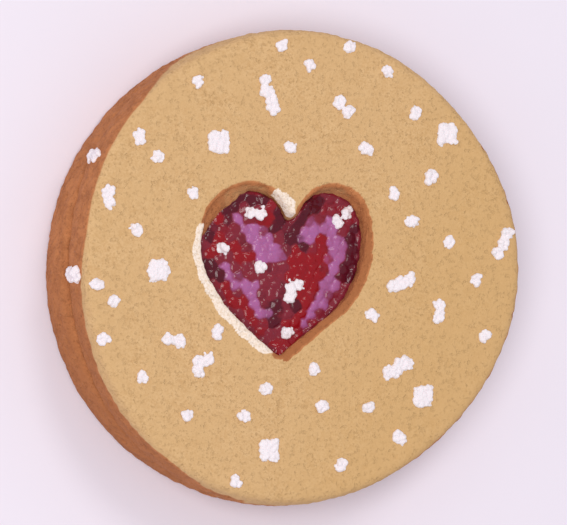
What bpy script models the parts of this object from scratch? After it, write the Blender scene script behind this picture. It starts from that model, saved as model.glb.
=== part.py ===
"""A linzer cookie: two round almond biscuits with berry jam between them.

The upper biscuit has a heart-shaped window, and the jam stands up inside it. Lengths are in metres
and +Z is up. The origin is the middle of the lower biscuit's underside, which the cookie rests on.
"""

import math

import bmesh
import bpy

# Driving dimensions of the two biscuits. One round cutter cuts both.
RADIUS = 0.0348
THICKNESS = 0.0065
SEAM = 0.0015
UPPER_SHIFT = (-0.0001, 0.0001)
SHOULDER_RADIUS = 0.0013
FOOT_RADIUS = 0.0008
SIDE_BULGE = 0.0002
CROWN = 0.0002
CROWN_SHARES = (0, 0.2, 0.4, 0.6, 0.8)
SIDE_WIDEST = 0.45
BOW = 0.00015

# The jam is spread short of the biscuits' edge, and touches neither biscuit.
JAM_GAP = 0.0003
JAM_RADIUS = 0.0316
JAM_EDGE = 0.0004
JAM_DEPTH = 0.0028
JAM_DOME = 0.0007

# The heart-shaped cutter's outline: two lobes with a rounded notch between them, two flanks, and
# straight cheeks down to a blunt tip. The dough gave a little, so the left lobe is the broader one.
HEART_AT = (-0.0015, 0.0055)
LOBE_RADIUS = 0.0065
LOBE_OFFSET = 0.0068
LOBE_TURN = math.radians(159)
NOTCH_RADIUS = 0.001
FLANK_RADIUS = 0.0138
FLANK_DROP = 0.0014
CHEEK_ANGLE = math.radians(51.5)
TIP_RADIUS = 0.0009
LEFT_STRETCH = 1.06
RIGHT_STRETCH = 0.89
HEART_SKEW = 0.07
HEART_MIDDLE = (-0.0015, -0.0035)
RIM_RADIUS = 0.0006
RIM_TURN = math.radians(70)
WINDOW_SLANT = 0.0022

# How each piece leaves the round: (waves round the edge, share of the radius, phase in radians).
UPPER_WAVES = ((2, 0.0100, 1.3), (3, 0.0150, 0.1), (4, 0.0045, 5.4), (5, 0.0030, 0.3))
LOWER_WAVES = ((2, 0.0090, 1.4), (3, 0.0080, 3.6), (4, 0.0020, 5.6), (5, 0.0020, 5.6))
JAM_WAVES = ((2, 0.014, 0.9), (3, 0.012, 2.2), (5, 0.016, 0.4), (8, 0.010, 1.7))

# Fineness
TURN_STEPS = 96
SHOULDER_STEPS = 4
FOOT_STEPS = 3
FLANK_STEPS = 7
LOBE_STEPS = 12
NOTCH_STEPS = 2
TIP_STEPS = 2
RIM_STEPS = 4
CAP_SCALES = (0.96, 0.84, 0.62, 0.36, 0.12)

MERGE = 0.00001
CUT_MARGIN = 0.001

LOWER_TOP = THICKNESS
UPPER_BASE = LOWER_TOP + SEAM
UPPER_TOP = UPPER_BASE + THICKNESS


def clear_scene():
    for obj in list(bpy.data.objects):
        bpy.data.objects.remove(obj)


def new_collection(name):
    collection = bpy.data.collections.new(name)
    bpy.context.scene.collection.children.link(collection)
    return collection


def new_material(name, colour, roughness):
    material = bpy.data.materials.new(name)
    material.use_nodes = True
    shader = material.node_tree.nodes["Principled BSDF"]
    shader.inputs["Base Color"].default_value = (*colour, 1)
    shader.inputs["Roughness"].default_value = roughness
    shader.inputs["Metallic"].default_value = 0.0
    return material


def new_object(name, bm, collection, material=None):
    mesh = bpy.data.meshes.new(name)
    bm.to_mesh(mesh)
    bm.free()
    obj = bpy.data.objects.new(name, mesh)
    collection.objects.link(obj)
    if material:
        mesh.materials.append(material)
    return obj


def arc(centre_x, centre_y, radius, start, end, steps):
    """Points on an arc, both ends included. Angles are in radians, anticlockwise from +X."""
    angles = [start + (end - start) * i / steps for i in range(steps + 1)]
    return [(centre_x + radius * math.cos(a), centre_y + radius * math.sin(a)) for a in angles]


def biscuit_profile(base, crown):
    """A biscuit's half section as (radius, height), from its middle over the shoulder to the base."""
    top = base + THICKNESS
    shoulder_at = RADIUS - SHOULDER_RADIUS
    foot_at = RADIUS - FOOT_RADIUS
    shoulder = arc(shoulder_at, top - SHOULDER_RADIUS, SHOULDER_RADIUS, math.pi / 2, 0, SHOULDER_STEPS)
    foot = arc(foot_at, base + FOOT_RADIUS, FOOT_RADIUS, 0, -math.pi / 2, FOOT_STEPS)
    middle = [(RADIUS * share, top + crown * (1 - share**2)) for share in CROWN_SHARES]
    side = [(RADIUS + SIDE_BULGE, base + THICKNESS * SIDE_WIDEST)]
    return middle + shoulder + side + foot + [(0, base)]


def jam_profile():
    """The jam layer's half section, with a rounded edge."""
    low = LOWER_TOP + JAM_GAP
    high = UPPER_BASE - JAM_GAP
    inner = JAM_RADIUS - JAM_EDGE
    return [(0, high), (inner, high), (JAM_RADIUS, (low + high) / 2), (inner, low), (0, low)]


def turned(name, profile, collection, material):
    """The profile turned about the Z axis. It runs down the outer side, so that the faces look out."""
    bm = bmesh.new()
    points = [bm.verts.new((radius, 0, height)) for radius, height in profile]
    for above, below in zip(points, points[1:]):
        bm.edges.new((above, below))
    obj = new_object(name, bm, collection, material)
    screw = obj.modifiers.new("turn", "SCREW")
    screw.steps = TURN_STEPS
    screw.render_steps = TURN_STEPS
    screw.use_merge_vertices = True
    screw.merge_threshold = MERGE
    keep_result(obj)
    return obj


def keep_result(obj):
    """Puts the mesh that the object's modifiers make in their place."""
    graph = bpy.context.evaluated_depsgraph_get()
    mesh = bpy.data.meshes.new_from_object(obj.evaluated_get(graph))
    obj.modifiers.clear()
    obj.data = mesh


def make_uneven(obj, waves, base, bow):
    """Lets the outline wander from the round, and bows the top a little. The base stays flat."""
    for vertex in obj.data.vertices:
        x, y, z = vertex.co
        angle = math.atan2(y, x)
        share = math.hypot(x, y) / RADIUS
        stretch = 1 + sum(size * math.cos(count * angle - phase) for count, size, phase in waves)
        rise = bow * math.cos(2 * angle + 0.5) * share**2 * (z - base) / THICKNESS
        vertex.co = (x * stretch, y * stretch, z + rise)


def heart_outline(grow):
    """The heart as (x, y) points, anticlockwise from its tip, with its outline moved out by grow."""
    lobe = LOBE_RADIUS + grow
    flank = FLANK_RADIUS + grow
    notch = NOTCH_RADIUS - grow
    tip = TIP_RADIUS + grow
    flank_x = LOBE_OFFSET + LOBE_RADIUS - FLANK_RADIUS
    tip_drop = (FLANK_RADIUS - TIP_RADIUS + flank_x * math.cos(CHEEK_ANGLE)) / math.sin(CHEEK_ANGLE)
    notch_y = (LOBE_RADIUS + NOTCH_RADIUS + LOBE_OFFSET * math.cos(LOBE_TURN)) / math.sin(LOBE_TURN)
    tip_points = arc(0, -FLANK_DROP - tip_drop, tip, -math.pi / 2, -CHEEK_ANGLE, TIP_STEPS)
    flank_points = arc(flank_x, -FLANK_DROP, flank, -CHEEK_ANGLE, 0, FLANK_STEPS)
    lobe_points = arc(LOBE_OFFSET, 0, lobe, 0, LOBE_TURN, LOBE_STEPS)
    notch_points = arc(0, notch_y, notch, LOBE_TURN - math.pi, -math.pi / 2, NOTCH_STEPS)
    right = tip_points + flank_points + lobe_points + notch_points
    left = [(-x, y) for x, y in reversed(right[1:-1])]
    return [given(x, y) for x, y in right + left]


def given(x, y):
    """Where a point of the even heart came to lie as the dough gave."""
    stretch = LEFT_STRETCH if x < 0 else RIGHT_STRETCH
    return (x * stretch + y * HEART_SKEW, y)


def heart_ring(grow, height, scale=1.0):
    """The heart's outline at a height inside the window, whose cut leans towards -Y going down."""
    lean = WINDOW_SLANT * (UPPER_TOP - height) / THICKNESS
    at_x, at_y = HEART_AT
    middle_x, middle_y = HEART_MIDDLE
    ring = []
    for x, y in heart_outline(grow):
        ring_x = at_x + middle_x + (x - middle_x) * scale
        ring_y = at_y - lean + middle_y + (y - middle_y) * scale
        ring.append((ring_x, ring_y, height))
    return ring


def loft(name, rings, collection, material=None):
    """A closed solid through rings of equally many points, from the lowest to the highest."""
    bm = bmesh.new()
    placed = [[bm.verts.new(point) for point in ring] for ring in rings]
    for lower, upper in zip(placed, placed[1:]):
        for i in range(len(lower)):
            j = (i + 1) % len(lower)
            bm.faces.new((lower[i], lower[j], upper[j], upper[i]))
    bm.faces.new(reversed(placed[0]))
    bm.faces.new(placed[-1])
    return new_object(name, bm, collection, material)


def window_cutter(collection):
    """What the heart-shaped cutter takes out. It flares at the top, which rounds the window's rim."""
    rings = [heart_ring(0, UPPER_BASE - CUT_MARGIN)]
    crest = UPPER_TOP + CROWN
    for step in range(RIM_STEPS + 1):
        turn = RIM_TURN * step / RIM_STEPS
        height = crest - RIM_RADIUS * (math.sin(RIM_TURN) - math.sin(turn))
        rings.append(heart_ring(RIM_RADIUS * (1 - math.cos(turn)), height))
    rings.append(heart_ring(RIM_RADIUS * (1 - math.cos(RIM_TURN)), crest + CUT_MARGIN))
    cutter = loft("window_cutter", rings, collection)
    cutter.display_type = "WIRE"
    cutter.hide_render = True
    return cutter


def jam_in_window(collection):
    """The jam that stands up in the window, from inside the layer to a low dome."""
    edge_height = UPPER_TOP - JAM_DEPTH
    rings = [heart_ring(-JAM_GAP, (LOWER_TOP + UPPER_BASE) / 2), heart_ring(-JAM_GAP, edge_height)]
    for scale in CAP_SCALES:
        rings.append(heart_ring(-JAM_GAP, edge_height + JAM_DOME * (1 - scale**2), scale))
    heap = loft("jam_in_window", rings, collection)
    heap.display_type = "WIRE"
    heap.hide_render = True
    return heap


def combine(obj, other, operation):
    boolean = obj.modifiers.new(operation.lower(), "BOOLEAN")
    boolean.operation = operation
    boolean.solver = "EXACT"
    boolean.object = other


def make_lower_biscuit(collection, material):
    biscuit = turned("lower_biscuit", biscuit_profile(0, 0), collection, material)
    make_uneven(biscuit, LOWER_WAVES, 0, BOW)
    return biscuit


def make_upper_biscuit(collection, helpers, material):
    biscuit = turned("upper_biscuit", biscuit_profile(UPPER_BASE, CROWN), collection, material)
    make_uneven(biscuit, UPPER_WAVES, UPPER_BASE, -BOW)
    shift_x, shift_y = UPPER_SHIFT
    for vertex in biscuit.data.vertices:
        vertex.co.x += shift_x
        vertex.co.y += shift_y
    combine(biscuit, window_cutter(helpers), "DIFFERENCE")
    return biscuit


def make_jam(collection, helpers, material):
    jam = turned("jam", jam_profile(), collection, material)
    make_uneven(jam, JAM_WAVES, LOWER_TOP, 0)
    combine(jam, jam_in_window(helpers), "UNION")
    return jam


def main():
    clear_scene()
    cookie = new_collection("linzer_cookie")
    helpers = new_collection("cutters")
    pale_crust = new_material("pale_crust", (0.67, 0.42, 0.20), 0.85)
    brown_crust = new_material("brown_crust", (0.42, 0.17, 0.07), 0.85)
    berry_jam = new_material("berry_jam", (0.25, 0.02, 0.04), 0.15)
    pieces = (
        make_lower_biscuit(cookie, brown_crust),
        make_jam(cookie, helpers, berry_jam),
        make_upper_biscuit(cookie, helpers, pale_crust),
    )
    for piece in pieces:
        piece.data.shade_smooth()
        piece.data.set_sharp_from_angle(angle=math.radians(40))


main()
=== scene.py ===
"""Looks of the linzer cookie: baked crumb, set berry jam, strewn sugar, and a pale table under it.

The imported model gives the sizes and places, in metres, with +Z up and +Y from the heart's tip at
the front to its lobes at the back. Lengths are written in millimetres and turned into metres by
MM. A name with two values gives where a smooth turn starts and ends, or the least and the most of
a random draw. A relief is layers of noise: the height and the size of each in millimetres, and
its seed.
"""

import math
import random

import bmesh
import bpy
import numpy as np
from mathutils import Matrix, Vector, noise
from mathutils.bvhtree import BVHTree
from mathutils.kdtree import KDTree


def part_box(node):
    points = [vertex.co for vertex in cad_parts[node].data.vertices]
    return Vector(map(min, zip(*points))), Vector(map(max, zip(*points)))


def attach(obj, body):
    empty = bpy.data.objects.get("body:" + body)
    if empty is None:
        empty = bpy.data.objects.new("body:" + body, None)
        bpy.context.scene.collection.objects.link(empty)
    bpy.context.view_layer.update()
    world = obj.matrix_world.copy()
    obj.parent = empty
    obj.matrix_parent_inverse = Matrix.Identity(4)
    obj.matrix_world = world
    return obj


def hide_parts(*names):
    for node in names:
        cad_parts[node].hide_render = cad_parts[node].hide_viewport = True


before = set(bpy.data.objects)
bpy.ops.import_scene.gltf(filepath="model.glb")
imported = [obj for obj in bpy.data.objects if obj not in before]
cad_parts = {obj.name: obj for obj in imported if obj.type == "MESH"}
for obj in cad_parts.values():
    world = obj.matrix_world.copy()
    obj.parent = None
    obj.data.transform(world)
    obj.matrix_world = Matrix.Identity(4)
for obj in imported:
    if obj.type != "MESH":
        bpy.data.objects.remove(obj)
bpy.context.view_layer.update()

MM = 0.001
SAME_PLACE = 0.001 * MM
TINY = 1e-9

# ---------------------------------------------------------------- small tools


def ease(value, low, high):
    """0 below low, 1 above high, and a smooth turn between them. Also for whole arrays."""
    share = np.clip((value - low) / (high - low), 0, 1)
    return share * share * (3 - 2 * share)


def waves(points, size, seed):
    """Smooth noise from about -1 to 1 at each point, whose lumps are about size across."""
    shift = Vector((seed * 17.3, seed * 5.9, seed * 11.1))
    return np.array([noise.noise(Vector(point) / size + shift) for point in points])


def uneven(points, relief):
    """The height of a relief at each point, in metres, from below 0 to above it."""
    return sum(height * MM * waves(points, size * MM, seed) for height, size, seed in relief)


def cells(points, size, seed):
    """How far each point is from the nearest of scattered spots, as a share of size, which is
    about how far apart the spots are."""
    shift = Vector((seed * 13.7, seed * 7.1, seed * 3.3))
    return np.array([noise.voronoi(Vector(point) / size + shift)[0][0] for point in points])


def points_of(mesh):
    flat = np.empty(len(mesh.vertices) * 3, np.float32)
    mesh.vertices.foreach_get("co", flat)
    return flat.reshape(-1, 3).astype(float)


def normals_of(mesh):
    flat = np.empty(len(mesh.vertices) * 3, np.float32)
    mesh.vertex_normals.foreach_get("vector", flat)
    return flat.reshape(-1, 3).astype(float)


def move_points(mesh, points):
    mesh.vertices.foreach_set("co", points.astype(np.float32).ravel())
    mesh.update()


def keep_values(mesh, name, values):
    """Stores a number at each point, for the material to read."""
    attribute = mesh.attributes.new(name, "FLOAT", "POINT")
    attribute.data.foreach_set("value", np.asarray(values, np.float32))


def add_piece(name, mesh):
    piece = bpy.data.objects.new(name, mesh)
    bpy.context.scene.collection.objects.link(piece)
    return piece


def mesh_from(bm):
    mesh = bpy.data.meshes.new("shape")
    bm.to_mesh(mesh)
    bm.free()
    return mesh


def even_piece(name, mesh, fineness, rounds):
    """A piece with an even, fine mesh through the shape of another, smoothed in so many rounds."""
    piece = add_piece(name, mesh)
    remesh = piece.modifiers.new("even", "REMESH")
    remesh.mode = "VOXEL"
    remesh.voxel_size = fineness
    smooth = piece.modifiers.new("smooth", "SMOOTH")
    smooth.iterations = rounds
    graph = bpy.context.evaluated_depsgraph_get()
    mesh = bpy.data.meshes.new_from_object(piece.evaluated_get(graph))
    piece.modifiers.clear()
    piece.data = mesh
    mesh.materials.clear()
    mesh.shade_smooth()
    return piece


def welded_copy(node):
    """A bmesh of a CAD node, with its split corners joined again."""
    bm = bmesh.new()
    bm.from_mesh(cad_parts[node].data)
    bmesh.ops.remove_doubles(bm, verts=bm.verts, dist=SAME_PLACE)
    return bm


def cut_level(bm, height, keep_above):
    """Keeps what lies above or below a height, and closes the cut."""
    everything = [*bm.verts, *bm.edges, *bm.faces]
    plane = {"plane_co": (0, 0, height), "plane_no": (0, 0, 1)}
    drop = {"clear_inner": keep_above, "clear_outer": not keep_above}
    cut = bmesh.ops.bisect_plane(bm, geom=everything, **plane, **drop)
    edges = [part for part in cut["geom_cut"] if isinstance(part, bmesh.types.BMEdge)]
    bmesh.ops.edgeloop_fill(bm, edges=edges)


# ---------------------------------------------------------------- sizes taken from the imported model

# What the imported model's boxes don't give: how much higher the upper biscuit's middle is than its
# rim, the radius of the heart's lobes, and how far in front of their middles the left flank gave.
CROWN = 0.2 * MM
LOBE_RADIUS = 6.5 * MM
FLANK_FROM_LOBES = 3.5 * MM

LOWER_LOW, LOWER_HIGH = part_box("lower_biscuit")
UPPER_LOW, UPPER_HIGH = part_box("upper_biscuit")
MIDDLE = (UPPER_LOW + UPPER_HIGH) / 2
RADIUS = (UPPER_HIGH.y - UPPER_LOW.y) / 2
TOP = UPPER_HIGH.z - CROWN
SEAM_LOW, SEAM_HIGH = LOWER_HIGH.z, UPPER_LOW.z
ABOVE_SEAM = SEAM_HIGH + 1 * MM

# The window lies nearer to the biscuit's middle than INNER, and the side further out than OUTER.
INNER, OUTER = 0.6 * RADIUS, 0.9 * RADIUS

# How far apart in height the corners of one level ring may be.
RING_HEIGHT = 0.05 * MM


def lowest_ring(points):
    """The lowest ring among points, in order round its middle, as (x, y) corners."""
    low = points[:, 2] < points[:, 2].min() + RING_HEIGHT
    ring = np.unique(np.round(points[low, :2], 6), axis=0)
    x, y = (ring - (ring.min(0) + ring.max(0)) / 2).T
    return ring[np.argsort(np.arctan2(y, x))]


# The window's outline is taken where its rounded rim starts, and the outline of the pool of jam in
# it where the jam's low dome starts.
upper_points = points_of(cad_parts["upper_biscuit"].data)
jam_points = points_of(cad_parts["jam"].data)
near_middle = np.hypot(upper_points[:, 0], upper_points[:, 1]) < INNER
WINDOW = lowest_ring(upper_points[near_middle & (upper_points[:, 2] > ABOVE_SEAM)])
POOL = lowest_ring(jam_points[jam_points[:, 2] > ABOVE_SEAM])

HEART_X = (WINDOW[:, 0].min() + WINDOW[:, 0].max()) / 2
WINDOW_Y = WINDOW[:, 1].max() - LOBE_RADIUS
FLANK_Y = WINDOW_Y - FLANK_FROM_LOBES
TIP_Y = WINDOW[:, 1].min()
POOL_Y = POOL[:, 1].max() - LOBE_RADIUS


def from_line(places, start, end):
    """Each place's offset (x, y) from the nearest point of the line from start to end."""
    along = np.subtract(end, start)
    share = np.clip((places - start) @ along / (along @ along), 0, 1)
    return places - start - share[:, None] * along


# How far inside and outside the reach of a stroke its edge fades.
FADE_INSIDE, FADE_OUTSIDE = 0.2 * MM, 0.3 * MM


def stroked(places, strokes):
    """1 on the strokes and 0 away from them, with soft edges. A stroke is its points and how far
    it reaches to each side of them, at its start and at its end, all in millimetres."""
    covered = np.zeros(len(places))
    for path, start_reach, end_reach in strokes:
        corners = np.array(path) * MM
        for i in range(len(corners) - 1):
            away = np.hypot(*from_line(places, corners[i], corners[i + 1]).T)
            reach = np.interp(i + 0.5, (0, len(corners) - 1), (start_reach, end_reach)) * MM
            here = 1 - ease(away, reach - FADE_INSIDE, reach + FADE_OUTSIDE)
            covered = np.maximum(covered, here)
    return covered


def from_outline(places, outline):
    """Each place's distance from a closed outline, below 0 inside it, and the way out of it."""
    nearest = np.full(places.shape, np.inf)
    inside = np.zeros(len(places), bool)
    for start, end in zip(outline, np.roll(outline, -1, axis=0)):
        offset = from_line(places, start, end)
        closer = (offset**2).sum(1) < (nearest**2).sum(1)
        nearest[closer] = offset[closer]
        crossing = (places[:, 1] < start[1]) != (places[:, 1] < end[1])
        rise = (end[1] - start[1]) or 1
        reach = start[0] + (places[:, 1] - start[1]) / rise * (end[0] - start[0])
        inside ^= crossing & (places[:, 0] < reach)
    distance = np.hypot(nearest[:, 0], nearest[:, 1])
    sign = np.where(inside, -1, 1)
    way_out = nearest / np.maximum(distance, TINY)[:, None] * sign[:, None]
    return distance * sign, way_out


# How far the soft dough gave at the heart's left flank and at its tip, in millimetres, and how
# that fades away from the window's outline, along the flank and up from the tip.
FLANK_GAVE, TIP_GAVE = 0.5, 0.9
OUTLINE_FADE = (1.5 * MM, 5 * MM)
FLANK_FADE = (1.5 * MM, 5.5 * MM)
TIP_FADE = (TIP_Y + 1 * MM, TIP_Y + 9 * MM)


def lean_heart(points, from_window):
    """Moves points about the heart as the dough gave: the left flank out, the tip to the left."""
    near = 1 - ease(from_window, *OUTLINE_FADE)
    flank = (1 - ease(np.abs(points[:, 1] - FLANK_Y), *FLANK_FADE)) * (points[:, 0] < HEART_X)
    tip = 1 - ease(points[:, 1], *TIP_FADE)
    points[:, 0] -= (FLANK_GAVE * flank + TIP_GAVE * tip) * MM * near


# ---------------------------------------------------------------- materials


class Tone:
    """A value that changes over a surface. Sums with it add Math nodes to its finish."""

    def __init__(self, finish, socket):
        self.finish = finish
        self.socket = socket

    def _sum(self, operation, first, second):
        return self.finish.node("ShaderNodeMath", {"operation": operation}, {0: first, 1: second})

    def __add__(self, other):
        return self._sum("ADD", self, other)

    def __sub__(self, other):
        return self._sum("SUBTRACT", self, other)

    def __rsub__(self, other):
        return self._sum("SUBTRACT", other, self)

    def __mul__(self, other):
        return self._sum("MULTIPLY", self, other)

    __radd__ = __add__
    __rmul__ = __mul__


# The sockets by which a Mix node mixes colours: its share, its two colours, and what it gives.
MIX_SHARE, MIX_FIRST, MIX_SECOND, MIX_RESULT = 0, 6, 7, 2


class Finish:
    """A material in the making: one Principled shader, and the nodes that feed it."""

    def __init__(self, name, constants):
        self.material = bpy.data.materials.new(name)
        self.material.use_nodes = True
        self.tree = self.material.node_tree
        self.shader = self.tree.nodes["Principled BSDF"]
        for label, value in constants.items():
            self.shader.inputs[label].default_value = value
        place = self.node("ShaderNodeTexCoord", output="Object")
        scaling = {"operation": "SCALE"}
        self.place_mm = self.node("ShaderNodeVectorMath", scaling, {0: place, "Scale": 1 / MM})

    def node(self, kind, settings=None, sockets=None, output=0):
        """Adds a node: first its settings, then its sockets' values or links. Gives an output."""
        node = self.tree.nodes.new(kind)
        for label, value in (settings or {}).items():
            setattr(node, label, value)
        for label, value in (sockets or {}).items():
            if isinstance(value, Tone):
                self.tree.links.new(value.socket, node.inputs[label])
            else:
                node.inputs[label].default_value = value
        return Tone(self, node.outputs[output])

    def spots(self, size_mm, detail, roughness=0.5):
        """Soft noise from 0 to 1, with lumps of about size_mm."""
        sockets = {"Vector": self.place_mm, "Scale": 1 / size_mm}
        sockets.update({"Detail": detail, "Roughness": roughness})
        return self.node("ShaderNodeTexNoise", None, sockets)

    def specks(self, size_mm):
        """The distance in cells to the nearest of scattered specks about size_mm apart."""
        sockets = {"Vector": self.place_mm, "Scale": 1 / size_mm}
        return self.node("ShaderNodeTexVoronoi", None, sockets)

    def kept(self, name):
        """A number that the mesh keeps at each point."""
        return self.node("ShaderNodeAttribute", {"attribute_name": name}, output="Fac")

    def ease(self, value, low, high):
        """0 below low, 1 above high, and a smooth turn between them."""
        sockets = {"Value": value, "From Min": low, "From Max": high}
        return self.node("ShaderNodeMapRange", {"interpolation_type": "SMOOTHSTEP"}, sockets)

    def blend(self, share, first, second):
        """The first colour where share is 0, the second where it is 1."""
        first, second = (c if isinstance(c, Tone) else (*c, 1) for c in (first, second))
        sockets = {MIX_SHARE: share, MIX_FIRST: first, MIX_SECOND: second}
        return self.node("ShaderNodeMix", {"data_type": "RGBA"}, sockets, MIX_RESULT)

    def relief(self, height, depth):
        """Fine relief: height is from 0 to 1, and depth in metres is what 1 stands for."""
        return self.node("ShaderNodeBump", None, {"Height": height, "Distance": depth})

    def feed(self, label, tone):
        self.tree.links.new(tone.socket, self.shader.inputs[label])


PALE = (0.660, 0.415, 0.195)
PALE_LIGHT = (0.730, 0.475, 0.240)
PALE_DARK = (0.580, 0.345, 0.150)
GOLDEN = (0.625, 0.376, 0.150)
BROWN = (0.560, 0.215, 0.082)
BROWN_DARK = (0.390, 0.138, 0.050)
FLECK = (0.360, 0.170, 0.075)
HIGHLIGHT_CREAM = (0.940, 0.810, 0.710)
HIGHLIGHT_CREAM_DARK = (0.840, 0.650, 0.480)


def crust_finish(name):
    """Baked almond crumb: pale on top, brown where it was cut and where it lay on the sheet."""
    finish = Finish(name, {"Roughness": 0.85, "IOR": 1.40, "Specular IOR Level": 0.30})
    mottle = finish.spots(1.8, detail=3, roughness=0.6)
    grain = finish.spots(0.35, detail=3, roughness=0.7)
    fine_grain = finish.spots(0.22, detail=2, roughness=0.6)

    lit = finish.ease(0.4 * mottle + 0.8 * grain, 0.45, 0.75)
    calm = finish.ease(finish.spots(7, detail=2), 0.3, 0.7) * 0.5 + 0.3
    pale = finish.blend(calm, finish.blend(lit, PALE_DARK, PALE_LIGHT), PALE)
    pale = finish.blend(finish.kept("golden") * 0.5, pale, GOLDEN)

    browning = finish.kept("browning")
    brown = finish.blend(finish.ease(mottle + 0.6 * grain, 0.5, 1.0), BROWN_DARK, BROWN)
    brown = finish.blend(finish.ease(browning, 1.0, 1.4), brown, BROWN_DARK)
    toast = finish.ease(browning + 0.35 * mottle + 0.25 * grain, 0.55, 1.05)
    colour = finish.blend(toast, pale, brown)

    almond = 1 - finish.ease(finish.specks(2.3) + 0.4 * grain, 0.17, 0.27)
    gathered = finish.ease(finish.spots(5, detail=2), 0.35, 0.65) * 0.45 + 0.2
    colour = finish.blend(almond * gathered, colour, FLECK)

    # The cream on part of the window's rim is a painted highlight.
    highlit = finish.ease(finish.kept("rim_highlight") + 0.5 * grain + 0.5 * mottle, 0.80, 1.15)
    rim_highlight = finish.blend(finish.ease(grain, 0.3, 0.6), HIGHLIGHT_CREAM_DARK, HIGHLIGHT_CREAM)
    finish.feed("Base Color", finish.blend(highlit, colour, rim_highlight))

    pits = finish.ease(finish.spots(0.7, detail=3, roughness=0.6), 0.24, 0.48)
    height = 0.6 * grain + 0.4 * fine_grain + 0.6 * pits
    finish.feed("Normal", finish.relief(height, depth=0.16 * MM))
    return finish.material


# The jam's own colour, and the tones that are laid over it in turn: the name of the mesh's values,
# the colour, how much the pulp's grain frays its edges, and where those edges start and end.
JAM_RED = (0.220, 0.018, 0.034)
JAM_TONES = (
    # Bright is partly painted light, dark is partly painted shadow, and violet is a painted sheen.
    ("bright", (0.285, 0.005, 0.011), 0.8, 0.20, 0.80),
    ("dark", (0.095, 0.005, 0.015), 0.8, 0.20, 0.80),
    ("violet", (0.405, 0.125, 0.318), 0.5, 0.25, 0.95),
)


def jam_finish():
    """Set berry jam: wet, with dark pulp and painted shadow, bright red patches and painted light,
    and a painted violet sheen.
    """
    constants = {
        "Roughness": 0.16,
        "IOR": 1.42,
        "Specular IOR Level": 0.38,
        "Subsurface Weight": 0.10,
        "Subsurface Radius": (1.0, 0.15, 0.10),
        "Subsurface Scale": 0.5 * MM,
    }
    finish = Finish("berry_jam", constants)
    pulp = finish.spots(0.9, detail=3, roughness=0.6) - 0.5
    colour = JAM_RED
    for name, tone, frayed, start, end in JAM_TONES:
        share = finish.ease(finish.kept(name) + frayed * pulp, start, end)
        colour = finish.blend(share, colour, tone)
    finish.feed("Base Color", colour)
    finish.feed("Normal", finish.relief(finish.spots(0.9, detail=1), depth=0.008 * MM))
    return finish.material


SUGAR_SHADED = (0.84, 0.76, 0.80)
SUGAR_WHITE = (0.93, 0.86, 0.89)


def sugar_finish():
    """Icing sugar in soft clumps: matte and white, a little clear at its thin edges."""
    constants = {
        "Roughness": 0.75,
        "IOR": 1.45,
        "Subsurface Weight": 0.30,
        "Subsurface Radius": (1.0, 0.9, 0.9),
        "Subsurface Scale": 0.4 * MM,
    }
    finish = Finish("sugar", constants)
    grain = finish.spots(0.22, detail=2, roughness=0.6)
    finish.feed("Base Color", finish.blend(grain, SUGAR_SHADED, SUGAR_WHITE))
    finish.feed("Normal", finish.relief(grain, depth=0.08 * MM))
    return finish.material


TABLE_SHADED = (0.83, 0.77, 0.86)
TABLE_PALE = (0.86, 0.80, 0.89)


def table_finish():
    finish = Finish("table", {"Roughness": 0.7, "Specular IOR Level": 0.2})
    grain = finish.spots(30, detail=2)
    finish.feed("Base Color", finish.blend(grain, TABLE_SHADED, TABLE_PALE))
    return finish.material


# ---------------------------------------------------------------- biscuits

# The crust's relief, in layers whose seeds are 1, 2 and 3, and its pits: how high each is on a
# level surface, how much higher on an upright one, and its size, all in millimetres.
CRUST_LAYERS = ((0.10, 0, 9), (0.07, 0, 3), (0.05, 0.14, 1.1))
CRUST_PITS = (0.12, 0.16, 2.2)
PIT_EDGE = (0.05, 0.28)


def crumble(points, normals):
    """How far out each point of a baked surface lies."""
    upright = 1 - np.abs(normals[:, 2])
    out = 0
    for seed, (level, more, size) in enumerate(CRUST_LAYERS, start=1):
        out += (level + more * upright) * MM * waves(points, size * MM, seed)
    level, more, size = CRUST_PITS
    pits = 1 - ease(cells(points, size * MM, seed=4), *PIT_EDGE)
    return out - (level + more * upright) * MM * pits


# How far a biscuit's rim bends towards the other one, and between which radii that sets in.
RIM_BEND = 0.55 * MM
RIM = (0.84 * RADIUS, 0.95 * RADIUS)


def close_seam(points, across, base, far):
    """Bends a biscuit's rim to the other one: the height base moves, and the height far stays."""
    bend = RIM_BEND * math.copysign(1, base - far) * ease(across, *RIM)
    points[:, 2] += bend * (points[:, 2] - far) / (base - far)


# How far below the biscuit's top the toast on its side starts, in millimetres: everywhere, and how
# much lower at the left's dip and at the two ends, front and back, where that also varies.
TOAST_START, LOWER_AT_DIP, LOWER_AT_ENDS = 0.3, 1.4, 2.6
ENDS_VARY, ENDS_VARY_SIZE = 0.9, 5 * MM

# How far down the turn from pale to brown takes: everywhere, and how much more at the ends.
TOAST_TURN, SOFTER_AT_ENDS = 0.7, 3.2

# How much paler the toast is at the ends, and how much darker the front left is painted, as shade.
PALER_AT_ENDS, FRONT_LEFT_SHADE = 0.25, 0.2

# Ways that a surface may face, as (x, y), and how nearly it has to face them, up to about 1 for
# straight on, to start to count and to count in full. The ends face straight back and front, and
# their limits sway.
BACK_END, FRONT_END = (0.68, 0.98), (0.84, 1.03)
ENDS_SWAY, ENDS_SWAY_SIZE = 0.06, 6 * MM
DIP_WAY, DIP_SHARE = Vector((-0.92, -0.39)), (0.86, 1.0)
# The last way is where the side is painted darker, as shade.
SHADE_WAY, SHADE_SHARE = Vector((-0.80, -0.60)), (0.70, 0.96)


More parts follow.
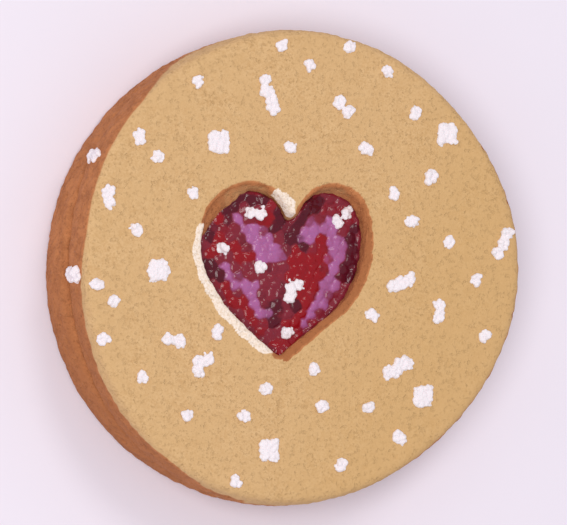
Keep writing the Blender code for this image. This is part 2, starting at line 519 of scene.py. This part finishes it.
def toasted_side(points, across, depth):
    """How brown the side is. The toast climbs to the shoulder at the left and right, with a dip at
    the left. It stays lower, softer and paler at the ends, and is painted darker at the front left
    as shade. The depth is how far below the biscuit's top each point is."""
    facing = points[:, :2] / np.maximum(across, TINY)[:, None]
    back = facing[:, 1] + ENDS_SWAY * waves(points, ENDS_SWAY_SIZE, seed=6)
    ends = np.maximum(ease(back, *BACK_END), ease(-back, *FRONT_END))
    dip = ease(facing @ DIP_WAY, *DIP_SHARE)
    lower = LOWER_AT_ENDS + ENDS_VARY * waves(points, ENDS_VARY_SIZE, seed=5)
    start = (TOAST_START + LOWER_AT_DIP * dip + ends * lower) * MM
    turn = (TOAST_TURN + SOFTER_AT_ENDS * ends) * MM
    painted_shade = ease(facing @ SHADE_WAY, *SHADE_SHARE)
    return ease(depth, start, start + turn) * (1 - PALER_AT_ENDS * ends + FRONT_LEFT_SHADE * painted_shade)


# How nearly a surface has to face up or down to start to count as level, and to count in full.
LEVEL = (0.3, 0.7)

# How far outside the window's outline the brown of its wall ends, and how much further out it
# reaches at the heart's right flank. Then how much it is painted paler at the lobes, as light
# against the shade there, and how much browner on top.
WALL_EDGE = (0.4 * MM, 0.9 * MM)
RIGHT_FLANK_REACH = 0.6 * MM
RIGHT_FLANK_WAY, RIGHT_FLANK_SHARE = Vector((0.80, -0.60)), (0.75, 0.95)
LOBES_PAINTED_LIGHTER, LOBES_LIGHT_SHARE = 0.45, (0.3, 1.05)
BROWNER_ON_TOP = 0.35


def toasted_wall(ragged, way_out, on_top):
    """How brown the window's wall is, and the top beside it."""
    further_out = RIGHT_FLANK_REACH * ease(way_out @ RIGHT_FLANK_WAY, *RIGHT_FLANK_SHARE)
    wall = 1 - ease(ragged - further_out, *WALL_EDGE)
    # The wall is painted paler at the lobes, as light against the shade there.
    wall *= 1 - LOBES_PAINTED_LIGHTER * ease(way_out[:, 1], *LOBES_LIGHT_SHARE)
    return wall * (1 + BROWNER_ON_TOP * on_top)


# The cream highlight painted on the rim beside the heart's left flank: which way it lies from the
# window, how far back and how far to the front it ends, and how far from the window's outline it
# starts and ends. Its end is frayed, and lies further out towards the tip.
HIGHLIGHT_WAY, HIGHLIGHT_SHARE = Vector((-0.88, -0.48)), (0.45, 0.75)
HIGHLIGHT_BACK = (WINDOW_Y + 0.2 * MM, WINDOW_Y + 1.2 * MM)
HIGHLIGHT_FRONT = (TIP_Y - 0.2 * MM, TIP_Y + 0.8 * MM)
HIGHLIGHT_START, HIGHLIGHT_END = (-0.1 * MM, 0.3 * MM), (1.1 * MM, 1.5 * MM)
HIGHLIGHT_FRAYED = ((0.35, 2.4, 13),)
BROADER_AT_TIP, TIP_SHARE = 0.3 * MM, (0.3, 0.6)

# The cream highlight painted in the notch: a stroke whose (x, y) points are from the middle
# between the window's two lobes. Then its sway and how deep it reaches.
NOTCH_HIGHLIGHT = ((((0.5, 2.3), (0.4, 4.0), (-1.3, 5.4)), 0.9, 0.6),)
NOTCH_SWAY = ((0.35, 0.9, 10),)
NOTCH_DEPTH = (0.9 * MM, 1.5 * MM)


def paint_rim_highlight(points, depth, ragged, way_out, on_top):
    """The highlight painted on the window's rim: by the heart's left flank and in its notch."""
    flank = ease(way_out @ HIGHLIGHT_WAY, *HIGHLIGHT_SHARE)
    flank *= 1 - ease(points[:, 1], *HIGHLIGHT_BACK)
    flank *= ease(points[:, 1], *HIGHLIGHT_FRONT)
    frayed = ragged + uneven(points, HIGHLIGHT_FRAYED)
    frayed -= BROADER_AT_TIP * ease(-way_out[:, 1], *TIP_SHARE)
    band = ease(ragged, *HIGHLIGHT_START) * (1 - ease(frayed, *HIGHLIGHT_END))
    swayed = points[:, :2] + uneven(points, NOTCH_SWAY)[:, None]
    notch = stroked(swayed - (HEART_X, WINDOW_Y), NOTCH_HIGHLIGHT)
    notch *= 1 - ease(depth, *NOTCH_DEPTH)
    return np.maximum(band * flank * on_top, notch)


# How far the window's wall slants into the hole at the left lobe, which way it faces there, and
# how deep that starts and is complete. The wall is what lies nearer to the outline than WALL_NEAR.
WALL_SLANT = 1.7 * MM
WALL_NEAR = 1 * MM
SLANT_WAY, SLANT_SHARE = Vector((0.71, -0.71)), (0.60, 0.95)
SLANT_DEPTH = (0.2 * MM, 2.4 * MM)


def slant_wall(points, normals, depth, from_window):
    """Moves the window's wall into the hole at the back left of the heart's left lobe."""
    slant = ease(normals[:, :2] @ SLANT_WAY, *SLANT_SHARE) * ease(depth, *SLANT_DEPTH)
    slant *= (from_window < WALL_NEAR) * (points[:, 0] < HEART_X)
    points[:, :2] += normals[:, :2] * (WALL_SLANT * slant)[:, None]


# Which way from its middle the top is more golden, and over how far. Then how the cut edge frays,
# and how high the crumb stands in a low lip under the painted highlight, with its own relief.
GOLDEN_WAY, GOLDEN_TURN = Vector((0.92, -0.40)), (0, 24 * MM)
CUT_FRAYED = ((0.15, 1.6, 7), (0.15, 0.7, 9))
HIGHLIGHT_LIP_RISE = 0.10 * MM
HIGHLIGHT_LIP_RELIEF = ((0.22, 0.9, 8),)


def bake_upper_biscuit(finish):
    """The biscuit with the window: brown at its side, round its window and underneath."""
    shape = mesh_from(welded_copy("upper_biscuit"))
    piece = even_piece("baked_upper_biscuit", shape, fineness=0.33 * MM, rounds=4)
    mesh = piece.data
    points, normals = points_of(mesh), normals_of(mesh)
    from_middle = points - (MIDDLE.x, MIDDLE.y, 0)
    across = np.hypot(*from_middle[:, :2].T)
    depth = TOP - points[:, 2]
    from_window, way_out = from_outline(points[:, :2], WINDOW)
    ragged = from_window + uneven(points, CUT_FRAYED)
    on_top = ease(normals[:, 2], *LEVEL)

    side = toasted_side(from_middle, across, depth) * (across > OUTER)
    wall = toasted_wall(ragged, way_out, on_top)
    under = ease(-normals[:, 2], *LEVEL)
    # A highlight painted in cream on part of the window's rim, which also stands a little higher.
    rim_highlight = paint_rim_highlight(points, depth, ragged, way_out, on_top)
    keep_values(mesh, "browning", np.maximum(np.maximum(side, wall), under) * (1 - rim_highlight))
    keep_values(mesh, "rim_highlight", rim_highlight)
    keep_values(mesh, "golden", ease(from_middle[:, :2] @ GOLDEN_WAY, *GOLDEN_TURN))

    close_seam(points, across, SEAM_HIGH, TOP)
    slant_wall(points, normals, depth, from_window)
    lean_heart(points, from_window)
    risen = rim_highlight * (HIGHLIGHT_LIP_RISE + uneven(points, HIGHLIGHT_LIP_RELIEF))
    points += normals * (crumble(points, normals) + risen)[:, None]
    move_points(mesh, points)
    mesh.materials.append(finish)
    return piece


# Where the lower biscuit's side starts. It is browned like a part of the upper one's side that
# lies this much further down, so that its shoulder is brown too.
LOWER_SIDE = (0.90 * RADIUS, 0.97 * RADIUS)
FURTHER_DOWN = 2 * MM


def bake_lower_biscuit(finish):
    """The biscuit on the table: brown at its side and underneath, with a flat base."""
    shape = mesh_from(welded_copy("lower_biscuit"))
    piece = even_piece("baked_lower_biscuit", shape, fineness=0.36 * MM, rounds=4)
    mesh = piece.data
    points, normals = points_of(mesh), normals_of(mesh)
    across = np.hypot(points[:, 0], points[:, 1])
    depth = LOWER_HIGH.z - points[:, 2]
    side = ease(across, *LOWER_SIDE) * toasted_side(points, across, depth + FURTHER_DOWN)
    under = ease(-normals[:, 2], *LEVEL)
    keep_values(mesh, "browning", np.maximum(side, under))
    keep_values(mesh, "rim_highlight", np.zeros(len(points)))
    keep_values(mesh, "golden", np.zeros(len(points)))

    close_seam(points, across, SEAM_LOW, LOWER_LOW.z)
    points += normals * crumble(points, normals)[:, None]
    points[:, 2] = np.maximum(points[:, 2], LOWER_LOW.z)
    move_points(mesh, points)
    mesh.materials.append(finish)
    return piece


# ---------------------------------------------------------------- jam

# Where the jam is painted violet sheen, bright red or dark: strokes whose (x, y) points are from
# the middle between the pool's two lobes. Some bright strokes are painted light along its left
# edges, and some dark ones painted shadow along the lobes' tops and its right edge.
VIOLET_SHEEN_STROKES = (
    (((-6.2, 2.2), (-4.6, 0.7), (-1.4, -2.3)), 0.8, 2.0),
    (((-8.4, -4.4), (-7.6, -6.3), (-5.6, -7.3), (-4.2, -7.5)), 0.9, 1.1),
    (((-4.0, -8.2), (-3.8, -10.0), (-2.4, -11.4)), 0.9, 0.8),
    (((4.2, 0.5), (5.4, 1.9), (7.8, 2.2)), 1.0, 0.9),
    (((8.7, 2.2), (8.8, -3.5), (8.6, -7.2)), 1.1, 0.9),
    (((9.8, -1.6), (10.5, -1.9)), 0.8, 0.8),
    (((7.4, -7.6), (6.6, -8.8), (5.4, -10.6), (3.8, -12.4)), 1.0, 0.8),
)
BRIGHT_AND_LIT_STROKES = (
    (((2.2, -1.8), (2.2, -5.8)), 0.9, 1.0),
    (((7.0, -0.4), (6.2, -3.0), (5.6, -5.5)), 0.8, 1.5),
    (((4.0, -4.6), (4.4, -8.0), (3.6, -11.0), (1.4, -14.0), (-0.6, -15.8)), 1.6, 0.9),
    (((-10.2, -6.2), (-7.0, -9.2), (-2.8, -13.8)), 0.8, 0.8),
    (((-9.4, 2.2), (-9.8, -0.4), (-10.6, -2.2)), 0.9, 1.2),
    (((-7.8, -1.0), (-5.6, -3.2)), 0.9, 0.8),
    (((-2.6, 3.2), (-1.6, 1.4)), 0.9, 0.7),
)
DARK_AND_SHADOW_STROKES = (
    (((-8.6, 3.4), (-7.0, 5.6), (-3.2, 5.9)), 0.9, 0.9),
    (((-0.8, 4.8), (-0.4, 1.4), (1.4, 0.4), (3.4, -0.6)), 0.8, 0.9),
    (((2.6, 3.0), (2.2, 0.8)), 0.7, 0.7),
    (((4.0, -0.8), (4.0, -3.2)), 0.7, 0.6),
    (((3.6, 4.2), (5.4, 5.4), (8.6, 5.0)), 0.9, 0.9),
    (((-12.2, 1.2), (-11.2, 0.8)), 0.9, 0.8),
    (((-11.8, -3.6), (-10.0, -6.0)), 0.9, 0.8),
    (((12.0, 1.6), (12.0, -0.2), (11.4, -3.2), (10.3, -6.4)), 0.7, 0.8),
    (((-0.7, -9.2), (-0.7, -10.6), (-1.4, -12.6)), 0.8, 0.8),
    (((2.2, -8.8), (2.2, -10.0)), 0.7, 0.7),
)

# The pulp's drops lie in rows that cover the pool. How far apart they are, in millimetres, then as
# shares of that, how far apart the rows are and how far a drop strays from its place.
DROP = 1.6
DROP_ROW = 0.87
DROP_STRAYS = (-0.25, 0.25)
ROWS, COLUMNS = range(-14, 12), range(-13, 13)

# How much a drop's tones differ from its strokes by chance. Of that, violet takes only a share.
# Then how strong violet and dark are on their strokes.
TONE_CHANCE, VIOLET_CHANCE = (-0.5, 0.55), 0.25
VIOLET_STRENGTH, DARK_STRENGTH = 0.86, 1.3

# How far the edges between drops sway, the size of a sway, and how far from an edge the tones of
# its two drops mix.
SWAY, SWAY_SIZE = 0.25 * MM, 1.1 * MM
DROP_MIX = (0, 0.60 * MM)


def pulp_drops():
    """The places of the pulp's drops, and how violet, how bright and how dark each one is."""
    dice = random.Random(3)
    drops = []
    for row in ROWS:
        for column in COLUMNS:
            x = (column + row % 2 / 2 + dice.uniform(*DROP_STRAYS)) * DROP
            y = (row * DROP_ROW + dice.uniform(*DROP_STRAYS)) * DROP
            drops.append((x * MM, y * MM))
    drops = np.array(drops)
    chance = np.array([dice.uniform(*TONE_CHANCE) for _ in drops])
    # Violet is a painted sheen; bright and dark carry painted light and shadow too.
    violet = stroked(drops, VIOLET_SHEEN_STROKES) * (VIOLET_STRENGTH + VIOLET_CHANCE * chance)
    bright = np.clip(stroked(drops, BRIGHT_AND_LIT_STROKES) + chance, 0, 1)
    dark = np.clip(DARK_STRENGTH * stroked(drops, DARK_AND_SHADOW_STROKES) - chance, 0, 1)
    return drops, np.stack([violet, bright, dark], axis=1)


def pulp_at(points):
    """The pulp's three tones at each point, and a dome over each drop, 1 high at its middle."""
    drops, tones = pulp_drops()
    tree = KDTree(len(drops))
    for index, (x, y) in enumerate(drops):
        tree.insert((x, y, 0), index)
    tree.balance()
    found = []
    for x, y, _ in points:
        at = Vector((x - HEART_X, y - POOL_Y, 0))
        at.x += SWAY * noise.noise(Vector((x, y, 0)) / SWAY_SIZE)
        at.y += SWAY * noise.noise(Vector((y, x, 5 * MM)) / SWAY_SIZE)
        (_, first, near), (_, second, far) = tree.find_n(at, 2)
        found.append((first, second, near, far))
    first, second, near, far = np.array(found).T
    own = 0.5 + 0.5 * ease(far - near, *DROP_MIX)[:, None]
    mixed = tones[first.astype(int)] * own + tones[second.astype(int)] * (1 - own)
    return mixed, 1 - (near / far) ** 2


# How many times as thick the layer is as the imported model's, which leaves a gap to the biscuits.
# Then how much its rim varies, as a share of the radius, the size of that, and where it sets in.
LAYER_THICKER = 1.6
LAYER_VARIES, LAYER_WAVE = 0.03, 6 * MM
LAYER_RIM = (0.6 * RADIUS, 0.9 * RADIUS)


def spread_layer(finish):
    """The thin layer of jam between the biscuits."""
    layer = welded_copy("jam")
    cut_level(layer, ABOVE_SEAM, keep_above=False)
    piece = even_piece("jam_layer", mesh_from(layer), fineness=0.5 * MM, rounds=2)
    points = points_of(piece.data)
    across = np.hypot(points[:, 0], points[:, 1])
    push = 1 + LAYER_VARIES * waves(points, LAYER_WAVE, seed=21) * ease(across, *LAYER_RIM)
    points[:, :2] *= push[:, None]
    middle = (SEAM_LOW + SEAM_HIGH) / 2
    in_layer = points[:, 2] < SEAM_HIGH
    points[in_layer, 2] = middle + (points[in_layer, 2] - middle) * LAYER_THICKER
    move_points(piece.data, points)
    piece.data.materials.append(finish)
    return piece


# How far the jam reaches into the window's wall, and how nearly its surface has to face up to
# count as its top. Then what the top is made of: a relief, the domes of the pulp's drops, and how
# high it climbs at its edge, and where.
INTO_WALL = 0.7 * MM
JAM_LEVEL = (0.2, 0.8)
JAM_RELIEF = ((0.22, 4.2, 11), (0.08, 1.9, 12))
DROP_DOME = 0.26 * MM
EDGE_CLIMB, EDGE_TURN = 0.3 * MM, (-0.2 * MM, 0.8 * MM)

# Where else the jam stands higher, in millimetres: (x, y) from the middle between the pool's two
# lobes, how far that reaches, and how much higher it is. CLIMB_FLAT is the share of that reach
# where it is at its highest.
CLIMB_FLAT = 0.2
JAM_CLIMBS = (
    ((-2.6, 5.2), 4.0, 1.3),
    ((3.2, 5.0), 3.4, 1.1),
    ((0.3, 3.4), 3.0, 0.5),
    ((0.4, -17.0), 3.2, 1.0),
)


def heap_jam(finish):
    """The jam that stands in the window and reaches just into its wall."""
    heap = welded_copy("jam")
    cut_level(heap, SEAM_HIGH, keep_above=True)
    piece = even_piece("jam_filling", mesh_from(heap), fineness=0.2 * MM, rounds=3)
    mesh = piece.data
    points, normals = points_of(mesh), normals_of(mesh)
    points += normals * (1, 1, 0) * INTO_WALL
    inside = -from_outline(points[:, :2], POOL)[0]
    lean_heart(points, from_outline(points[:, :2], WINDOW)[0])
    tones, domes = pulp_at(points)
    for name, values in zip(("violet", "bright", "dark"), tones.T):
        keep_values(mesh, name, values)

    height = uneven(points, JAM_RELIEF) + DROP_DOME * domes
    height += EDGE_CLIMB * (1 - ease(inside, *EDGE_TURN))
    climb = np.zeros(len(points))
    for place, reach, most in JAM_CLIMBS:
        away = np.hypot(*(points[:, :2] - (HEART_X, POOL_Y) - np.multiply(place, MM)).T)
        climb += most * MM * (1 - ease(away, CLIMB_FLAT * reach * MM, reach * MM))
    on_top = ease(normals[:, 2], *JAM_LEVEL)
    points[:, 2] += on_top * (height + climb)
    move_points(mesh, points)
    mesh.materials.append(finish)
    return piece


# ---------------------------------------------------------------- sugar

# Where the sugar fell: (x, y) in millimetres from the biscuit's middle, or for the jam from the
# middle between the pool's two lobes, and (y, z) on the biscuit's left side. A clump is a few
# heaps beside each other: how big one is, each one's offset, and the places of such clumps.
SQUARE = tuple((right, back) for right in (-0.8, 0, 0.8) for back in (-0.8, 0, 0.8))
ACROSS = ((-0.9, 0.1), (0.8, 0))
ALONG = ((0.1, -0.9), (0, 0.8))
CLUMPS = (
    (2.05, SQUARE, ((-14, 18), (22.8, 20), (-6, -27), (-23.5, -1), (18.8, -18.8))),
    (2.45, ACROSS, ((-21, -11.2),)),
    (2.35, ALONG, ((-31.2, 9.6), (21.3, -6))),
    (2.4, ((-0.7, 0.8), (0.7, -0.5)), ((6, 23.5),)),
    (2.35, ((-0.5, 2.3), (-0.4, 0.8), (0.4, -0.7), (0.7, -2.0)), ((-6, 25),)),
    (2.5, ((-1.5, -0.8), (-0.2, 0), (1.2, 0.5)), ((15.5, -2),)),
    (2.45, ((-1.7, -0.9), (-0.6, -0.7), (0.4, 0.3), (1.6, 0.8)), ((14.8, -14.5),)),
    (2.4, ((-0.7, -1.6), (0.1, -0.1), (0.7, 1.4)), ((31.8, 4.2),)),
    (2.4, ((-0.7, -1.2), (-0.7, 0.2), (0.9, 0.8)), ((-16.5, -14.5),)),
)
BROAD_HEAP = 2.8
BROAD_HEAPS = ((-26.5, 18.5), (20, 13.5), (15, -25))
SIDE_HEAPS = ((-1.6, 11.6), (-1.5, 9.3), (16, 9.0), (15.9, 10.8))
SINGLE_HEAP = 2.35
SINGLE_HEAPS = (
    (-4, 32.5), (7, 32.5), (0.5, 29.6), (13, 29), (-17.2, 26.8), (17.5, 23), (-2.5, 17.5),
    (9.5, 17.5), (-23.7, 15.7), (-18, 10.5), (14, 11), (17, 7), (-27, 5), (23, 4), (27.5, -1.5),
    (-33, -3), (-30.5, -5.5), (10.5, -7), (-14.2, -9.8), (29, -9.8), (-32, -11), (1, -15),
    (-26, -16.5), (-6.5, -18), (2.5, -20.5), (10, -20.5), (-19, -22), (-10, -22), (5.5, -29),
    (-11.3, -31.7),
)
JAM_HEAP = (2.2, 2.5)
JAM_HEAPS = (
    (-4.8, 3.7), (-3.4, 3.7), (9.3, 2.6), (10.9, 4.0), (-9.2, -1.7), (-3.3, -4.3), (1.5, -7.2),
    (3.0, -6.9), (1.5, -8.5), (1.2, -13.9),
)

# How far a clump's heaps stray, and how much the sizes of heaps vary in a clump and alone.
HEAP_STRAYS = (-0.15, 0.15)
IN_CLUMP_VARIES = (0.93, 1.07)
ALONE_VARIES = (0.92, 1.08)

# A heap is a core with lumps about it. As shares of its size: how deep the core's middle lies and
# its radius, then a lump's radius and height. Lumps lie lower towards the rim by HEAP_FALL, spread
# out evenly if HEAP_SPREAD is 0.5 and towards the rim if it is less, and lie in an oval, longer by
# HEAP_LONGER than it would be if it were round.
HEAP_LUMPS = 26
CORE_DEPTH, CORE_RADIUS = 0.16, 0.34
LUMP_RADIUS, LUMP_HEIGHT = (0.09, 0.19), (-0.02, 0.12)
HEAP_FALL, HEAP_SPREAD, HEAP_LONGER = 0.25, 0.4, 0.15

SUGAR_RELIEF = ((0.06, 0.40, 31), (0.04, 0.22, 32))


def ball():
    """The points and the triangles of a round ball of radius 1."""
    bm = bmesh.new()
    bmesh.ops.create_icosphere(bm, subdivisions=2, radius=1)
    mesh = mesh_from(bm)
    return points_of(mesh), np.array([polygon.vertices for polygon in mesh.polygons])


def heap_sugar(lumps, dice, place, up, size):
    """Adds a soft heap of sugar to the lumps: (place, radius) of balls, in a heap size across."""
    turn = Vector(up).to_track_quat("Z", "Y").to_matrix()
    longer = dice.uniform(0, math.tau)
    core = Vector(place) - turn @ Vector((0, 0, CORE_DEPTH * size))
    lumps.append((core, CORE_RADIUS * size))
    for _ in range(HEAP_LUMPS):
        radius = size * dice.uniform(*LUMP_RADIUS)
        angle = dice.uniform(0, math.tau)
        away = (size * 0.5 - radius) * dice.random() ** HEAP_SPREAD
        away *= 1 + HEAP_LONGER * math.cos(2 * (angle - longer))
        height = size * (dice.uniform(*LUMP_HEIGHT) - HEAP_FALL * (away / size) ** 2)
        offset = Vector((away * math.cos(angle), away * math.sin(angle), height))
        lumps.append((Vector(place) + turn @ offset, radius))


def finish_sugar(name, lumps, finish):
    """Melts the lumps that touch into clumps, with a grainy skin."""
    corners, triangles = ball()
    rounds = np.concatenate([corners * radius + place for place, radius in lumps])
    faces = np.concatenate([triangles + i * len(corners) for i in range(len(lumps))])
    shape = bpy.data.meshes.new("shape")
    shape.from_pydata(rounds.tolist(), [], faces.tolist())
    piece = even_piece(name, shape, fineness=0.12 * MM, rounds=1)
    mesh = piece.data
    points, normals = points_of(mesh), normals_of(mesh)
    move_points(mesh, points + normals * uneven(points, SUGAR_RELIEF)[:, None])
    mesh.materials.append(finish)
    return piece


def dropped(tree, x, y):
    """The point of a surface under (x, y), and the surface's normal there."""
    point, normal, _, _ = tree.ray_cast(Vector((x, y, TOP + 10 * MM)), Vector((0, 0, -1)))
    return point, normal


def thrown(tree, y, z):
    """The point of a surface's left side at (y, z), and the surface's normal there."""
    point, normal, _, _ = tree.ray_cast(Vector((-2 * RADIUS, y, z)), Vector((1, 0, 0)))
    return point, normal


def tree_of(piece):
    return BVHTree.FromObject(piece, bpy.context.evaluated_depsgraph_get())


def sugar_biscuit(dice, biscuit, finish):
    """The sugar on the upper biscuit: its clumps, its broad and single heaps, and its side's."""
    tree = tree_of(biscuit)
    lumps = []
    for size, heaps, places in CLUMPS:
        for x, y in places:
            for right, back in heaps:
                at_x = MIDDLE.x + (x + right + dice.uniform(*HEAP_STRAYS)) * MM
                at_y = MIDDLE.y + (y + back + dice.uniform(*HEAP_STRAYS)) * MM
                spot = dropped(tree, at_x, at_y)
                heap_sugar(lumps, dice, *spot, size * dice.uniform(*IN_CLUMP_VARIES) * MM)
    for size, places in ((BROAD_HEAP, BROAD_HEAPS), (SINGLE_HEAP, SINGLE_HEAPS)):
        for x, y in places:
            spot = dropped(tree, MIDDLE.x + x * MM, MIDDLE.y + y * MM)
            heap_sugar(lumps, dice, *spot, size * dice.uniform(*ALONE_VARIES) * MM)
    for y, z in SIDE_HEAPS:
        heap_sugar(lumps, dice, *thrown(tree, y * MM, z * MM), BROAD_HEAP * MM)
    return finish_sugar("sugar_on_biscuit", lumps, finish)


def sugar_jam(dice, jam, finish):
    """The sugar on the jam in the window."""
    tree = tree_of(jam)
    lumps = []
    for x, y in JAM_HEAPS:
        spot = dropped(tree, HEART_X + x * MM, POOL_Y + y * MM)
        heap_sugar(lumps, dice, *spot, dice.uniform(*JAM_HEAP) * MM)
    return finish_sugar("sugar_on_jam", lumps, finish)


# ---------------------------------------------------------------- table, lights and camera

# How far the table reaches each way, in metres.
TABLE_REACH = 3


def lay_table():
    bm = bmesh.new()
    bmesh.ops.create_grid(bm, x_segments=8, y_segments=8, size=TABLE_REACH)
    table = add_piece("table", mesh_from(bm))
    table.data.materials.append(table_finish())


# The light from all round, and the lamps: each one's name, its place and its size in metres, its
# power in watts, and its colour.
ROOM_COLOUR = (0.96, 0.95, 1.0)
ROOM_STRENGTH = 0.55
LAMPS = (
    ("window_light", (-0.43, -0.06, 0.88), 0.50, 4.6, (1.0, 0.99, 0.97)),
    ("side_light", (0.12, 0.45, 0.80), 0.30, 1.3, (1.0, 0.98, 0.95)),
)


def hang_lamp(name, place, size, power, colour):
    """A round, soft lamp that shines at the cookie's top."""
    light = bpy.data.lights.new(name, "AREA")
    light.shape = "DISK"
    light.size = size
    light.energy = power
    light.color = colour
    lamp = bpy.data.objects.new(name, light)
    bpy.context.scene.collection.objects.link(lamp)
    back = Vector(place) - Vector((0, 0, TOP))
    turn = back.to_track_quat("Z", "Y").to_matrix().to_4x4()
    lamp.matrix_world = Matrix.Translation(place) @ turn


def light_studio():
    world = bpy.data.worlds.new("room")
    world.use_nodes = True
    background = world.node_tree.nodes["Background"]
    background.inputs["Color"].default_value = (*ROOM_COLOUR, 1)
    background.inputs["Strength"].default_value = ROOM_STRENGTH
    bpy.context.scene.world = world
    for lamp in LAMPS:
        hang_lamp(*lamp)


# Where the camera looks from, round from the front and up from the table. Then its lens and its
# sensor's width in millimetres, and the width and the middle of what it sees.
CAMERA_AZIMUTH = math.radians(-84)
CAMERA_ELEVATION = math.radians(66.5)
LENS, SENSOR = 500, 36
VIEW_WIDTH = 83.15 * MM
VIEW_MIDDLE = Vector((-3.1 * MM, 0.6 * MM, TOP))


def stand_camera():
    """Above the cookie and a little to its left, with the heart upright in the view."""
    level = math.cos(CAMERA_ELEVATION)
    back_x = math.sin(CAMERA_AZIMUTH) * level
    back_y = -math.cos(CAMERA_AZIMUTH) * level
    back = Vector((back_x, back_y, math.sin(CAMERA_ELEVATION)))
    up = (Vector((0, 1, 0)) - back * back.y).normalized()
    data = bpy.data.cameras.new("camera")
    data.lens = LENS
    data.sensor_width = SENSOR
    camera = bpy.data.objects.new("camera", data)
    bpy.context.scene.collection.objects.link(camera)
    place = VIEW_MIDDLE + back * VIEW_WIDTH * LENS / SENSOR
    turn = Matrix((up.cross(back), up, back)).transposed().to_4x4()
    camera.matrix_world = Matrix.Translation(place) @ turn
    bpy.context.scene.camera = camera
    bpy.context.scene.view_settings.view_transform = "Standard"


# ---------------------------------------------------------------- putting it together

upper = bake_upper_biscuit(crust_finish("pale_crust"))
lower = bake_lower_biscuit(crust_finish("brown_crust"))
berry_jam = jam_finish()
layer = spread_layer(berry_jam)
heap = heap_jam(berry_jam)
sugar = sugar_finish()
sugar_dice = random.Random(5)
on_biscuit = sugar_biscuit(sugar_dice, upper, sugar)
on_jam = sugar_jam(sugar_dice, heap, sugar)
for piece, slot, node in (
    (upper, "pale_crust", "upper_biscuit"),
    (lower, "brown_crust", "lower_biscuit"),
    (heap, "berry_jam", "jam"),
    (layer, "berry_jam", "jam"),
    (on_biscuit, "sugar", None),
    (on_jam, "sugar", None),
):
    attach(piece, "root")
    if node:
        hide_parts(node)

lay_table()
light_studio()
stand_camera()
